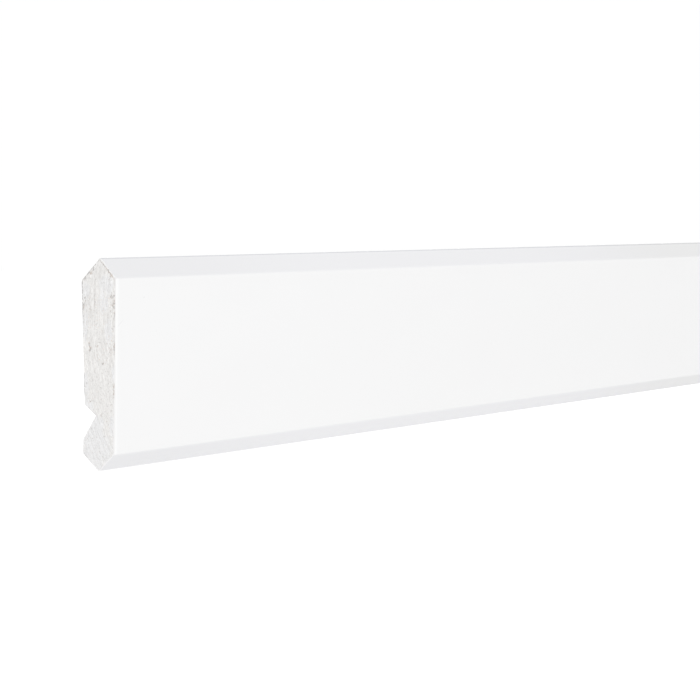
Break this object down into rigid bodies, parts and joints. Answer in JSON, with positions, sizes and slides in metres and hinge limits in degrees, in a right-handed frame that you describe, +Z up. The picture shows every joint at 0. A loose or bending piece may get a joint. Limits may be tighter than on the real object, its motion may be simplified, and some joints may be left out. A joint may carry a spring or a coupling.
{
  "type": "crown moulding",
  "caption": "Length of flat crown moulding in white-painted wood: two ridged edges, seats square to each other for wall and ceiling, and a V groove along the back.",
  "frame": {"origin": "middle of the wall seat, which is the lower of the two bevels on the back", "axes": "+X along the length, -Y out of the painted face, +Y out of the back, +Z up from the ridge by the wall seat to the ridge by the ceiling seat. Fitted, the length is turned 43 degrees about X, so that the wall seat looks along +Y and the ceiling seat along +Z"},
  "size_m": [0.48, 0.011, 0.058],
  "materials": {
    "painted_wood": "satin white paint on the face and face bevels, bare pale wood on the back and the cut ends"
  },
  "bodies": {
    "root": {"moulding": "painted_wood"}
  },
  "joints": []
}
